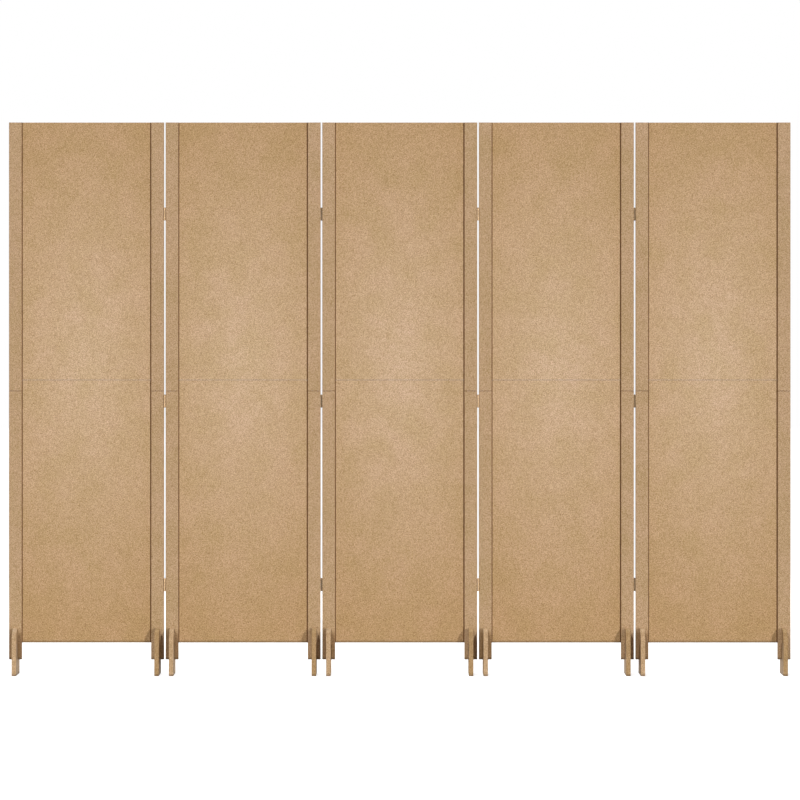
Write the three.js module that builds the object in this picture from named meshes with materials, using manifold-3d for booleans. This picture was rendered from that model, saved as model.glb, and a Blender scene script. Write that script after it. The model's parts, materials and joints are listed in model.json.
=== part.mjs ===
// A five-panel folding screen of raw fibreboard, standing open in one straight line.
//
// Each panel is a thin board held in the grooves of two posts. Posts and board are each in a lower and an
// upper length, so a panel packs into a box half its height. Two plate feet are halved over the posts' lower
// ends. Three butt hinges join each panel to the next, with their knuckles on the front and on the back by
// turns, so the screen folds in a zigzag.
//
// Millimetres. X runs along the screen, -Y is its front and Z is up. The origin is on the floor under the
// middle of the screen.

import * as THREE from 'three';
import { mergeVertices } from 'three/addons/utils/BufferGeometryUtils.js';
import Module from 'manifold-3d';

const wasm = await Module();
wasm.setup();

// ---- Driving sizes -------------------------------------------------------------------------------------

const PANEL_COUNT = 5;
const PANEL_WIDTH = 508;
const PANEL_GAP = 5.5; // between neighbouring panels, where the hinges are
const FIT = 0.3; // clearance between pieces that seat on each other

const POST_WIDTH = 42;
const POST_THICKNESS = 18;
const POST_SECTION_LENGTH = 880; // each post is two of these
const POST_LIFT = 50; // floor to the lower end of a post
const POST_EASING = 1.5; // radius on a post's long edges
const GROOVE_DEPTH = 10;
const GROOVE_STOP = 55; // solid post below the groove, which carries the board
const DOWEL_DIAMETER = 8;
const DOWEL_STANDOUT = 30; // above the seam, in the upper section
const DOWEL_END_GAP = 2; // bore left empty over the dowel

const BOARD_THICKNESS = 4;
const BOARD_OVERLAP = 36; // the lower board runs this far past the posts' seam

const FOOT_THICKNESS = 15;
const FOOT_LENGTH = 150;
const FOOT_HEIGHT = 152;
const FOOT_SHOULDER_DROP = 45; // height of the elliptical shoulders

const HINGE_HEIGHT = 42;
const LEAF_THICKNESS = 1;
const LEAF_INSET = 4; // post's far face to a leaf's free edge
const AXIS_PROUD = 0.5; // pin axis to the posts' near face
const PIN_DIAMETER = 2;
const SCREW_DIAMETER = 3;
const SCREW_LENGTH = 12; // past the leaf
const SCREW_SPACING = 26;
const TOP_HINGE_DROP = 300; // post's top to the top hinge's middle
const MIDDLE_HINGE_DROP = 33; // posts' seam to the middle hinge's middle
const BOTTOM_HINGE_RISE = 245; // post's lower end to the bottom hinge's middle

// ---- Sizes and heights that follow from them -------------------------------------------------------------

const PANEL_PITCH = PANEL_WIDTH + PANEL_GAP;
const POST_OFFSET = (PANEL_WIDTH - POST_WIDTH) / 2; // panel's middle to a post's middle
const SEAM_HEIGHT = POST_LIFT + POST_SECTION_LENGTH;
const UPPER_POST_FOOT = SEAM_HEIGHT + FIT;
const POST_TOP = UPPER_POST_FOOT + POST_SECTION_LENGTH;
const LAP_HEIGHT = (POST_LIFT + FOOT_HEIGHT) / 2; // where post and foot meet in their halving joint

const GROOVE_WIDTH = BOARD_THICKNESS + 2 * FIT;
const BOARD_WIDTH = PANEL_WIDTH - 2 * POST_WIDTH + 2 * (GROOVE_DEPTH - FIT);
const BOARD_FOOT = POST_LIFT + GROOVE_STOP;
const BOARD_SEAM = SEAM_HEIGHT + BOARD_OVERLAP;

const KNUCKLE_RADIUS = PANEL_GAP / 2 - FIT;
const KNUCKLE_LENGTH = (HINGE_HEIGHT - 2 * FIT) / 3;
const LEAF_REACH = AXIS_PROUD + POST_THICKNESS - LEAF_INSET; // pin axis to a leaf's free edge
const SCREW_REACH = (KNUCKLE_RADIUS + LEAF_REACH) / 2; // pin axis to the screws
const AXIS_OFFSET = POST_THICKNESS / 2 + AXIS_PROUD; // middle of a post's thickness to the pin axis

const TOP_HINGE = POST_TOP - TOP_HINGE_DROP;
const MIDDLE_HINGE = SEAM_HEIGHT - MIDDLE_HINGE_DROP;
const BOTTOM_HINGE = POST_LIFT + BOTTOM_HINGE_RISE;

const JOIN = 0.5; // how far shapes that make one piece run into each other
const CUT_PAST = 5; // how far a cutting shape runs past the face that it opens
const ROUND_SIDES = 16; // on knuckles, dowels and their bores
const SCREW_SIDES = 10;
const PIN_SIDES = 12;
const EASING_STEPS = 1; // half the flats on a post's eased edge
const SHOULDER_STEPS = 6; // half the flats on a foot's shoulder

const POST_FINISH = { color: '#b99a77', roughness: 0.85, metalness: 0 };
const BOARD_FINISH = { color: '#c2a27e', roughness: 0.85, metalness: 0 };
const FOOT_FINISH = { color: '#bb9b75', roughness: 0.85, metalness: 0 };
const HINGE_FINISH = { color: '#b3aca2', roughness: 0.35, metalness: 1 };

// ---- Joining and cutting ---------------------------------------------------------------------------------

function solidOf(geometry) {
  const bare = geometry.clone();
  bare.deleteAttribute('normal');
  bare.deleteAttribute('uv');
  const merged = mergeVertices(bare);
  return new wasm.Manifold(new wasm.Mesh({
    numProp: 3,
    vertProperties: new Float32Array(merged.attributes.position.array),
    triVerts: new Uint32Array(merged.index.array),
  }));
}

function geometryOf(solid) {
  const mesh = solid.getMesh();
  const geometry = new THREE.BufferGeometry();
  geometry.setAttribute('position', new THREE.BufferAttribute(mesh.vertProperties, 3));
  geometry.setIndex(new THREE.BufferAttribute(mesh.triVerts, 1));
  geometry.computeVertexNormals();
  return geometry;
}

function join(...geometries) {
  return geometryOf(geometries.map(solidOf).reduce((whole, solid) => whole.add(solid)));
}

function cut(geometry, ...tools) {
  return geometryOf(tools.map(solidOf).reduce((rest, tool) => rest.subtract(tool), solidOf(geometry)));
}

// ---- Plain shapes ----------------------------------------------------------------------------------------

// A box between two values on each axis.
function block([x0, x1], [y0, y1], [z0, z1]) {
  const box = new THREE.BoxGeometry(x1 - x0, y1 - y0, z1 - z0);
  return box.translate((x0 + x1) / 2, (y0 + y1) / 2, (z0 + z1) / 2);
}

// An upright cylinder on the Z axis.
function upright(radius, z0, z1, sides) {
  const cylinder = new THREE.CylinderGeometry(radius, radius, z1 - z0, sides);
  return cylinder.rotateX(Math.PI / 2).translate(0, 0, (z0 + z1) / 2);
}

// A cylinder along X, from x0 to x1.
function alongX(radius, [x0, x1], y, z, sides) {
  const cylinder = new THREE.CylinderGeometry(radius, radius, x1 - x0, sides);
  return cylinder.rotateZ(Math.PI / 2).translate((x0 + x1) / 2, y, z);
}

// ---- Hinge leaves ----------------------------------------------------------------------------------------
// A leaf is made about its pin: the pin is on the Z axis, and the plate reaches out along +Y. side is -1 for
// the leaf on the left of the gap and 1 for the one on the right.

// A leaf's stretch of sheet: its outer face is level with the knuckles' side, on the post's edge.
function sheet(side, yRange, zRange, seat = 0) {
  const across = [side * (KNUCKLE_RADIUS + seat), side * (KNUCKLE_RADIUS - LEAF_THICKNESS)];
  return block(across.sort((a, b) => a - b), yRange, zRange);
}

// One knuckle and the tab that ties it to the plate, centred at a height.
function knuckle(side, height) {
  const zRange = [height - KNUCKLE_LENGTH / 2, height + KNUCKLE_LENGTH / 2];
  const tab = sheet(side, [0, KNUCKLE_RADIUS + FIT + JOIN], zRange);
  return join(upright(KNUCKLE_RADIUS, ...zRange, ROUND_SIDES), tab);
}

function plate(side, seat) {
  const zRange = [-HINGE_HEIGHT / 2, HINGE_HEIGHT / 2];
  return sheet(side, [KNUCKLE_RADIUS + FIT, LEAF_REACH], zRange, seat);
}

function screw(side, height) {
  const across = [side * (KNUCKLE_RADIUS + SCREW_LENGTH), side * (KNUCKLE_RADIUS - LEAF_THICKNESS / 2)];
  return alongX(SCREW_DIAMETER / 2, across.sort((a, b) => a - b), SCREW_REACH, height, SCREW_SIDES);
}

function screws(side) {
  return [-1, 1].map((end) => screw(side, (end * SCREW_SPACING) / 2));
}

// The left leaf has the two outer knuckles and the pin, which is fast in them.
function pinLeaf() {
  const outer = KNUCKLE_LENGTH + FIT;
  const pin = upright(PIN_DIAMETER / 2, -outer, outer, PIN_SIDES);
  return join(plate(-1), knuckle(-1, -outer), knuckle(-1, outer), pin, ...screws(-1));
}

// The right leaf has the middle knuckle, which turns on the pin.
function boredLeaf(seat) {
  const bore = upright(PIN_DIAMETER / 2 + FIT, -KNUCKLE_LENGTH, KNUCKLE_LENGTH, PIN_SIDES);
  return cut(join(plate(1, seat), knuckle(1, 0)), bore);
}

function plainLeaf() {
  return join(boredLeaf(), ...screws(1));
}

// ---- Posts -----------------------------------------------------------------------------------------------
// A post is made as the left one of its panel: its groove faces +X and its outer edge is at -X. A right post
// is the same piece turned half round. Heights are those of the standing screen.

function postOutline() {
  const x = POST_WIDTH / 2 - POST_EASING;
  const y = POST_THICKNESS / 2 - POST_EASING;
  const outline = new THREE.Shape();
  outline.absarc(x, y, POST_EASING, 0, Math.PI / 2);
  outline.absarc(-x, y, POST_EASING, Math.PI / 2, Math.PI);
  outline.absarc(-x, -y, POST_EASING, Math.PI, 1.5 * Math.PI);
  outline.absarc(x, -y, POST_EASING, 1.5 * Math.PI, 2 * Math.PI);
  return outline;
}

function plainPost(foot, top) {
  const options = { depth: top - foot, curveSegments: EASING_STEPS, bevelEnabled: false };
  return new THREE.ExtrudeGeometry(postOutline(), options).translate(0, 0, foot);
}

function groove(foot, top) {
  const half = GROOVE_WIDTH / 2;
  return block([POST_WIDTH / 2 - GROOVE_DEPTH, POST_WIDTH / 2 + CUT_PAST], [-half, half], [foot, top]);
}

// Pilot holes for the screws of the hinges at these heights. face is 1 where the pins are on the post's +Y
// side, -1 where they are on its -Y side, and 0 on a post without hinges.
function pilotHoles(face, heights) {
  const radius = SCREW_DIAMETER / 2 + FIT;
  const across = [-POST_WIDTH / 2 - CUT_PAST, -POST_WIDTH / 2 + SCREW_LENGTH];
  const y = face * (AXIS_OFFSET - SCREW_REACH);
  const levels = heights.flatMap((height) => [height - SCREW_SPACING / 2, height + SCREW_SPACING / 2]);
  return face === 0 ? [] : levels.map((level) => alongX(radius, across, y, level, SCREW_SIDES));
}

function lowerPost(face, heights) {
  const half = FOOT_THICKNESS / 2 + FIT;
  const past = POST_THICKNESS / 2 + CUT_PAST;
  const slot = block([-half, half], [-past, past], [POST_LIFT - CUT_PAST, LAP_HEIGHT + FIT]);
  const dowel = upright(DOWEL_DIAMETER / 2, SEAM_HEIGHT - JOIN, SEAM_HEIGHT + DOWEL_STANDOUT, ROUND_SIDES);
  const channel = groove(BOARD_FOOT - FIT, SEAM_HEIGHT + CUT_PAST);
  const post = join(cut(plainPost(POST_LIFT, SEAM_HEIGHT), channel), dowel);
  return cut(post, slot, ...pilotHoles(face, heights));
}

function upperPost(face, heights) {
  const boreTop = SEAM_HEIGHT + DOWEL_STANDOUT + DOWEL_END_GAP;
  const bore = upright(DOWEL_DIAMETER / 2 + FIT, UPPER_POST_FOOT - CUT_PAST, boreTop, ROUND_SIDES);
  const channel = groove(UPPER_POST_FOOT - CUT_PAST, POST_TOP + CUT_PAST);
  return cut(plainPost(UPPER_POST_FOOT, POST_TOP), channel, bore, ...pilotHoles(face, heights));
}

// The lower post on the right of a gap is one piece with the plain leaf of its middle hinge.
function lowerPostWithLeaf(face, heights) {
  const leaf = boredLeaf(FIT + JOIN);
  if (face > 0) {
    leaf.rotateX(Math.PI);
  }
  leaf.translate(-(POST_WIDTH + PANEL_GAP) / 2, face * AXIS_OFFSET, MIDDLE_HINGE);
  return join(lowerPost(face, heights), leaf);
}

// ---- Boards and feet -------------------------------------------------------------------------------------

function board(foot, top) {
  const half = BOARD_WIDTH / 2;
  return block([-half, half], [-BOARD_THICKNESS / 2, BOARD_THICKNESS / 2], [foot, top]);
}

// A foot's side view: flat on the floor, upright ends, shoulders that are quarter ellipses, and the notch
// that holds the post.
function footOutline() {
  const end = FOOT_LENGTH / 2;
  const notch = POST_THICKNESS / 2 + FIT;
  const spring = FOOT_HEIGHT - FOOT_SHOULDER_DROP;
  const outline = new THREE.Shape();
  outline.moveTo(-end, 0);
  outline.lineTo(end, 0);
  outline.lineTo(end, spring);
  outline.absellipse(notch, spring, end - notch, FOOT_SHOULDER_DROP, 0, Math.PI / 2);
  outline.lineTo(notch, LAP_HEIGHT);
  outline.lineTo(-notch, LAP_HEIGHT);
  outline.lineTo(-notch, FOOT_HEIGHT);
  outline.absellipse(-notch, spring, end - notch, FOOT_SHOULDER_DROP, Math.PI / 2, Math.PI);
  return outline;
}

// The outline's x runs along Y and its y along Z; its thickness is along X.
function foot() {
  const options = { depth: FOOT_THICKNESS, curveSegments: SHOULDER_STEPS, bevelEnabled: false };
  const turn = new THREE.Matrix4().makeBasis(
    new THREE.Vector3(0, 1, 0),
    new THREE.Vector3(0, 0, 1),
    new THREE.Vector3(1, 0, 0),
  );
  const plateFoot = new THREE.ExtrudeGeometry(footOutline(), options);
  return plateFoot.applyMatrix4(turn).translate(-FOOT_THICKNESS / 2, 0, 0);
}

// ---- Assembly --------------------------------------------------------------------------------------------

function addPiece(group, name, geometry, finish) {
  const piece = new THREE.Mesh(geometry, new THREE.MeshStandardMaterial({ ...finish, flatShading: true }));
  piece.name = name;
  group.add(piece);
  return piece;
}

// -1 where the pins of a gap's hinges are on the front, 1 where they are on the back, and 0 outside the
// screen. Gap 1 is between panels 1 and 2.
function pinSide(gap) {
  const inside = gap >= 1 && gap < PANEL_COUNT;
  return inside ? (gap % 2 === 1 ? -1 : 1) : 0;
}

function addPosts(group, panel, side) {
  const right = side === 'right';
  const pins = pinSide(right ? panel : panel - 1);
  const face = right ? -pins : pins;
  const withLeaf = !right && pins !== 0;
  const lower = withLeaf
    ? lowerPostWithLeaf(face, [BOTTOM_HINGE])
    : lowerPost(face, [BOTTOM_HINGE, MIDDLE_HINGE]);
  const upper = upperPost(face, [TOP_HINGE]);
  for (const [level, geometry] of [['lower', lower], ['upper', upper]]) {
    const post = addPiece(group, `panel_${panel}_${side}_${level}_post`, geometry, POST_FINISH);
    post.position.x = right ? POST_OFFSET : -POST_OFFSET;
    post.rotation.z = right ? Math.PI : 0;
  }
}

function addPanel(screen, panel) {
  const group = new THREE.Group();
  group.position.x = (panel - (PANEL_COUNT + 1) / 2) * PANEL_PITCH;
  addPosts(group, panel, 'left');
  addPosts(group, panel, 'right');
  addPiece(group, `panel_${panel}_lower_board`, board(BOARD_FOOT, BOARD_SEAM), BOARD_FINISH);
  addPiece(group, `panel_${panel}_upper_board`, board(BOARD_SEAM + FIT, POST_TOP), BOARD_FINISH);
  for (const [side, x] of [['left', -POST_OFFSET], ['right', POST_OFFSET]]) {
    addPiece(group, `panel_${panel}_${side}_foot`, foot(), FOOT_FINISH).position.x = x;
  }
  screen.add(group);
}

function addHinge(screen, gap, level, height) {
  const hinge = new THREE.Group();
  hinge.position.set((gap - PANEL_COUNT / 2) * PANEL_PITCH, pinSide(gap) * AXIS_OFFSET, height);
  hinge.rotation.x = pinSide(gap) > 0 ? Math.PI : 0;
  const name = `hinge_${gap}_${gap + 1}_${level}`;
  addPiece(hinge, `${name}_pin_leaf`, pinLeaf(), HINGE_FINISH);
  if (level !== 'middle') {
    addPiece(hinge, `${name}_plain_leaf`, plainLeaf(), HINGE_FINISH);
  }
  screen.add(hinge);
}

function foldingScreen() {
  const screen = new THREE.Group();
  for (let panel = 1; panel <= PANEL_COUNT; panel += 1) {
    addPanel(screen, panel);
  }
  for (let gap = 1; gap < PANEL_COUNT; gap += 1) {
    addHinge(screen, gap, 'top', TOP_HINGE);
    addHinge(screen, gap, 'middle', MIDDLE_HINGE);
    addHinge(screen, gap, 'bottom', BOTTOM_HINGE);
  }
  return screen;
}

export default foldingScreen();
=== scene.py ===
"""A five-panel folding screen of raw fibreboard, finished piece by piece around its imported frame.

Metres, in the frame's own axes: X runs along the screen, -Y is its front and Z is up.
"""

import json
import math

import bpy
import bmesh
import numpy as np
from bpy.props import FloatProperty, FloatVectorProperty, PointerProperty
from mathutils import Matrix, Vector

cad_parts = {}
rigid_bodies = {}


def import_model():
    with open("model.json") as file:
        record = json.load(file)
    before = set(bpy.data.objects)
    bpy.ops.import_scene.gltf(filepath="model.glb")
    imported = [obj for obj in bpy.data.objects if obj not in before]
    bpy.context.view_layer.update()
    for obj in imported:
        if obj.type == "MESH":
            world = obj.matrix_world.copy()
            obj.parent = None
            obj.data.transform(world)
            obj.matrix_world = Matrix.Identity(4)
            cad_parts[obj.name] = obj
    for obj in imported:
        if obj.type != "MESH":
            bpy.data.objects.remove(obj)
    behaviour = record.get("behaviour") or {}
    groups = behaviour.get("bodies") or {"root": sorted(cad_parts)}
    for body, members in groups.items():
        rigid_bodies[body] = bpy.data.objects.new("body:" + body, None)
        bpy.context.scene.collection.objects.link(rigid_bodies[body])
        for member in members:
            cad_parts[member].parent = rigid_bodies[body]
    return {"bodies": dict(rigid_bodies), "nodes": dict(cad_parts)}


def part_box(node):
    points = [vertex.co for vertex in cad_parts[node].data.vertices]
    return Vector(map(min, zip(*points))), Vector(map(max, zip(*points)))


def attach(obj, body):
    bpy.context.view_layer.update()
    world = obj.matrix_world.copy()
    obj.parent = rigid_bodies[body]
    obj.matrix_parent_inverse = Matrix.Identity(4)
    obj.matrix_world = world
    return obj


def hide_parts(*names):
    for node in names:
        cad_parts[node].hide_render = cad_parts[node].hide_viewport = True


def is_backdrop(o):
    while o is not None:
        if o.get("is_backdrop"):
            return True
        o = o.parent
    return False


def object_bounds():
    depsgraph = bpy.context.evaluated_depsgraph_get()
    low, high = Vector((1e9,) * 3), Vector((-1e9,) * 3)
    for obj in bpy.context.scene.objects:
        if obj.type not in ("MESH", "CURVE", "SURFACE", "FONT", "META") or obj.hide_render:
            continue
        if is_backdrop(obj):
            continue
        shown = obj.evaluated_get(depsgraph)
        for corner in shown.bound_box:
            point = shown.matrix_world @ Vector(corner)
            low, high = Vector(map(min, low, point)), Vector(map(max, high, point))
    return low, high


bl_info = {
    "name": "Fibreboard folding screen",
    "version": (1, 0, 0),
    "blender": (4, 5, 0),
    "location": "View3D > Sidebar > Folding screen",
    "description": "Makes the posts, boards, feet and hinges of a folding screen, and a studio to show it in",
    "category": "Object",
}

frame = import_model()
cad_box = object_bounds()

MM = 0.001
MERGED = 0.001 * MM  # points closer than this are one
SHARP = math.radians(35)  # edges that turn by more than this stay sharp
ROUND = 24  # columns round a small turned piece
EASING_STEPS = 3  # steps of the quarter round on an eased edge
FACE_LOOK = 0.95  # how squarely a face looks along an axis, at least, to be a face and not an edge
PANELS = range(1, len(frame["bodies"]) + 1)
GAPS = range(1, len(PANELS))
PANEL_SIDES = [(panel, side) for panel in PANELS for side in ("left", "right")]
WHITE = (1, 1, 1, 1)
DUST_AND_SHADE = (0.25, 0.16, 0.06, 1)  # what brown dust in a joint, and the painted shade beside a board's posts, let through of a linear colour
FOOT_SHADE = (0.68, 0.62, 0.52, 1)  # what the painted shade beside a foot, on a post's lower end, lets through
HINGE_SHADE = (0.4, 0.38, 0.34, 1)  # what the painted shade beside a hinge lets through
LOWER_EDGE_SHADE = (0.4, 0.4, 0.4, 1)  # what the painted shade along a lower edge lets through
KNUCKLE_SHADE = (0.15, 0.15, 0.15, 1)  # what the painted shade in a hinge's knuckles lets through


# ---- Places in the frame ----


def box(node):
    """A node's lowest and highest corner, as two arrays."""
    low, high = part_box(node)
    return np.array(low), np.array(high)


def linear(hex_colour):
    """The linear RGB triple of an sRGB hex colour."""
    srgb = np.array([int(hex_colour[i : i + 2], 16) for i in (1, 3, 5)]) / 255
    return tuple(np.where(srgb <= 0.04045, srgb / 12.92, ((srgb + 0.055) / 1.055) ** 2.4))


UPPER_POST_BOX = box("panel_1_left_upper_post")
UPPER_BOARD_BOX = box("panel_1_upper_board")
LOWER_BOARD_BOX = box("panel_1_lower_board")
FOOT_BOX = box("panel_1_left_foot")
PIN_LEAF_BOX = box("hinge_1_2_top_pin_leaf")
PLAIN_LEAF_BOX = box("hinge_1_2_top_plain_leaf")
LOWER_POST_FOOT = box("panel_1_right_lower_post")[0][2]
DOWEL_TOP = box("panel_1_right_lower_post")[1][2]
PANEL_PITCH = box("panel_2_upper_board")[0][0] - UPPER_BOARD_BOX[0][0]

FIT = UPPER_BOARD_BOX[0][2] - LOWER_BOARD_BOX[1][2]  # clearance between pieces that seat on each other
SEAM = UPPER_POST_BOX[0][2] - FIT
LAP_HEIGHT = (LOWER_POST_FOOT + FOOT_BOX[1][2]) / 2  # where a post and its foot meet
BOARD_THICKNESS = UPPER_BOARD_BOX[1][1] - UPPER_BOARD_BOX[0][1]
GROOVE_DEPTH = UPPER_POST_BOX[1][0] - UPPER_BOARD_BOX[0][0] + FIT
HINGE_HEIGHT = PIN_LEAF_BOX[1][2] - PIN_LEAF_BOX[0][2]
PANEL_GAP = box("panel_2_left_upper_post")[0][0] - box("panel_1_right_upper_post")[1][0]
POST_WIDTH = UPPER_POST_BOX[1][0] - UPPER_POST_BOX[0][0]
POST_THICKNESS = UPPER_POST_BOX[1][1] - UPPER_POST_BOX[0][1]


# ---- What a user may change ----


def length(name, description, default):
    """A size that a user may set."""
    return FloatProperty(name=name, description=description, default=default, min=0, unit="LENGTH")


def brightness(name, description, default, unit="NONE"):
    """How bright a lamp or the room is, which a user may set."""
    return FloatProperty(name=name, description=description, default=default, min=0, unit=unit)


def colour(name, description, hex_colour):
    """A colour that a user may set, from its sRGB hex value."""
    return FloatVectorProperty(
        name=name, description=description, subtype="COLOR", size=3, min=0, max=1, default=linear(hex_colour)
    )


class WoodSizes(bpy.types.PropertyGroup):
    post_easing: length("Post easing", "Radius sanded on a post's long edges", 2.4 * MM)
    board_easing: length("Board easing", "Radius sanded on a board's edges", 0.5 * MM)
    foot_easing: length("Foot easing", "Radius sanded on a foot's edges", 1.2 * MM)
    shoulder_drop: length("Shoulder drop", "Height of a foot's elliptical shoulders", 45 * MM)
    dowel_diameter: length("Dowel diameter", "Beech dowel that pins a post's two sections", 8 * MM)
    dowel_end_gap: length("Dowel end gap", "Bore left empty past a dowel's end", 2 * MM)


class HingeSizes(bpy.types.PropertyGroup):
    sheet: length("Sheet", "Thickness of a leaf's steel", 1 * MM)
    pin_diameter: length("Pin diameter", "Diameter of the hinge pin", 2.6 * MM)
    leaf_corner: length("Leaf corner", "Radius on a leaf's free corners", 2.5 * MM)
    axis_proud: length("Axis proud", "Pin axis to the posts' near face", 0.5 * MM)
    head_diameter: length("Head diameter", "Countersunk screw head", 5.2 * MM)
    screw_diameter: length("Screw diameter", "Outside of the screw's thread", 3 * MM)
    screw_length: length("Screw length", "Length of a screw past the leaf", 12 * MM)
    screw_spacing: length("Screw spacing", "Between a leaf's two screws", 26 * MM)
    thread_pitch: length("Thread pitch", "Rise of the screw's thread in a turn", 1.35 * MM)


class Finishes(bpy.types.PropertyGroup):
    board: colour("Board", "Sanded face of the thin fibreboard", "#b08d64")
    # Painted light: the colour of a pool of light painted around the middle of each panel's board.
    board_painted_light: colour("Board middle", "Sanded face of the thin fibreboard at mid height", "#c6a788")
    post: colour("Post", "Sanded face of the posts' fibreboard", "#b29270")
    foot: colour("Foot", "Face of the feet's fibreboard", "#b08f6b")
    edge: colour("Machined edge", "Edge of the fibreboard, where the cutter opened its fibres", "#b89571")
    foot_edge: colour("Foot's machined edge", "Front and back of a foot", "#ba9b78")
    right_foot: FloatVectorProperty(
        name="Right feet",
        description="What the darker board of the right feet keeps of the left feet's colours",
        subtype="COLOR", size=3, min=0, max=1, default=(0.8, 0.76, 0.64),
    )
    # A painted highlight: the colour painted on the top of a foot's rounded shoulder.
    shoulder_highlight: colour("Worn edge", "Rounded shoulder of a foot, rubbed pale", "#d4b896")
    steel: colour("Hinge steel", "Zinc plated and passivated steel", "#bc9f7c")
    beech: colour("Beech", "Dowels", "#c99f73")


class Studio(bpy.types.PropertyGroup):
    distance: length("Camera distance", "Camera to the middle of the screen", 16.0)
    eye_height: length("Eye height", "Floor to the camera", 1.13)
    right_key: brightness("Right key", "Strength of the low lamp on the right", 1.52)
    left_key: brightness("Left key", "Strength of the high lamp on the left", 1.47)
    top: brightness("Top", "Strength of the soft lamp overhead", 0.5)
    sides: brightness("Sides", "Strength of the lamps at both ends", 0.2)
    back: brightness("Back", "Power of the light behind the screen", 300, "POWER")
    world: brightness("World", "Brightness of the room around", 0.04)


# ---- Meshes from arrays ----


def grid_faces(rows, columns, closed):
    """Quads between the neighbours of a grid of rows by columns points. A closed grid's columns meet
    round."""
    index = np.arange(rows * columns).reshape(rows, columns)
    if closed:
        index = np.hstack([index, index[:, :1]])
    corners = [index[:-1, :-1], index[:-1, 1:], index[1:, 1:], index[1:, :-1]]
    return np.stack(corners, axis=-1).reshape(-1, 4)


def new_piece(name, points, faces):
    """A mesh object from an array of points and lists of corners. Points that fall together are merged, faces
    are turned outwards, and sharp edges are kept sharp."""
    mesh = bpy.data.meshes.new(name)
    mesh.from_pydata(points.reshape(-1, 3).tolist(), [], faces)
    shape = bmesh.new()
    shape.from_mesh(mesh)
    bmesh.ops.remove_doubles(shape, verts=shape.verts, dist=MERGED)
    bmesh.ops.recalc_face_normals(shape, faces=shape.faces)
    shape.to_mesh(mesh)
    shape.free()
    mesh.shade_smooth()
    mesh.set_sharp_from_angle(angle=SHARP)
    piece = bpy.data.objects.new(name, mesh)
    bpy.context.collection.objects.link(piece)
    return piece


def mitres(outline):
    """Inward steps at the corners of an anticlockwise outline: the sum of the two edges' inward normals over
    one plus their dot product, so that a step insets both edges alike."""
    edge = np.roll(outline, -1, axis=0) - outline
    edge /= np.linalg.norm(edge, axis=1, keepdims=True)
    inward = np.stack([-edge[:, 1], edge[:, 0]], axis=1)
    before = np.roll(inward, 1, axis=0)
    return (inward + before) / (1 + (inward * before).sum(axis=1, keepdims=True))


def eased_plate(outline, thickness, easing, shift=None):
    """Rows of points across a plate whose outline has eased edges. At an angle t on the quarter round, a row
    is inset by easing * (1 - cos t) and lies easing * (1 - sin t) below the face. shift, if given, is a pair:
    a half width, and a step for each point of the outline, which the rows within that half width take."""
    inward = mitres(outline)
    turn = np.linspace(math.pi / 2, 0, EASING_STEPS + 1)
    inset = easing * (1 - np.cos(turn))
    across = thickness / 2 - easing * (1 - np.sin(turn))
    inset = np.concatenate([inset, inset[::-1]])
    across = np.concatenate([-across, across[::-1]])
    rows = outline[None] + inset[:, None, None] * inward[None]
    if shift is not None:
        half, step = shift
        middle = len(across) // 2
        extra = np.stack([outline, outline + step, outline + step, outline])
        rows = np.concatenate([rows[:middle], extra, rows[middle:]])
        across = np.concatenate([across[:middle], [-half, -half, half, half], across[middle:]])
    return rows, across


def plate_piece(name, rows, across, axis, centre):
    """A closed plate from its rows, with a cap on each face. The outline's two coordinates take the axes
    other than axis, in order, and the rows lie across along axis."""
    count, corners = rows.shape[:2]
    points = np.empty((count, corners, 3))
    points[..., [i for i in range(3) if i != axis]] = rows
    points[..., axis] = across[:, None]
    caps = [list(range(corners)), list(range((count - 1) * corners, count * corners))]
    faces = grid_faces(count, corners, True).tolist() + caps
    return new_piece(name, points + centre, faces)


def turned_piece(name, radius, along, axis, centre):
    """A piece turned about an axis. radius and along are grids, rows along the piece by columns round it, and
    the angle grows evenly with the column. The first and last rows have no radius, which closes the ends."""
    turn = np.linspace(0, 2 * math.pi, radius.shape[1], endpoint=False)
    points = np.empty(radius.shape + (3,))
    points[..., (axis + 1) % 3] = radius * np.cos(turn)
    points[..., (axis + 2) % 3] = radius * np.sin(turn)
    points[..., axis] = along
    faces = grid_faces(*radius.shape, True).tolist()
    return new_piece(name, points + centre, faces)


def turned_profile(profile):
    """A round profile, pairs of radius and height, as the two grids that turned_piece takes."""
    pairs = np.asarray(profile, float)
    return np.repeat(pairs[:, :1], ROUND, axis=1), np.repeat(pairs[:, 1:], ROUND, axis=1)


def sheet_piece(name, outer, inner, metal):
    """A piece of sheet from two grids of points, its outer and inner side. metal marks the cells that are
    there, and a rim closes the sheet wherever one of them has no neighbour."""
    rows, columns = outer.shape[:2]
    index = np.arange(rows * columns).reshape(rows, columns)
    behind = rows * columns  # from a point of the outer side to the one behind it
    cells = grid_faces(rows, columns, False)[metal.ravel()]
    beside, above = np.pad(metal, ((0, 0), (1, 1))), np.pad(metal, ((1, 1), (0, 0)))
    upright, level = beside[:, 1:] != beside[:, :-1], above[1:] != above[:-1]
    near = np.concatenate([index[:-1][upright], index[:, :-1][level]])
    far = np.concatenate([index[1:][upright], index[:, 1:][level]])
    rim = np.stack([near, far, far + behind, near + behind], axis=-1)
    used, faces = np.unique(np.concatenate([cells, cells + behind, rim]), return_inverse=True)
    points = np.concatenate([outer.reshape(-1, 3), inner.reshape(-1, 3)])[used]
    return new_piece(name, points, faces.reshape(-1, 4).tolist())


def cut_away(piece, tools):
    """Cuts the tools' shapes out of the piece and removes the tools."""
    for tool in tools:
        cut = piece.modifiers.new("cut", "BOOLEAN")
        cut.operation = "DIFFERENCE"
        cut.solver = "EXACT"
        cut.object = tool
    bpy.context.view_layer.update()
    whole = bpy.data.meshes.new_from_object(piece.evaluated_get(bpy.context.evaluated_depsgraph_get()))
    piece.modifiers.clear()
    piece.data = whole
    for tool in tools:
        bpy.data.objects.remove(tool)
    piece.data.set_sharp_from_angle(angle=SHARP)


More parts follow.
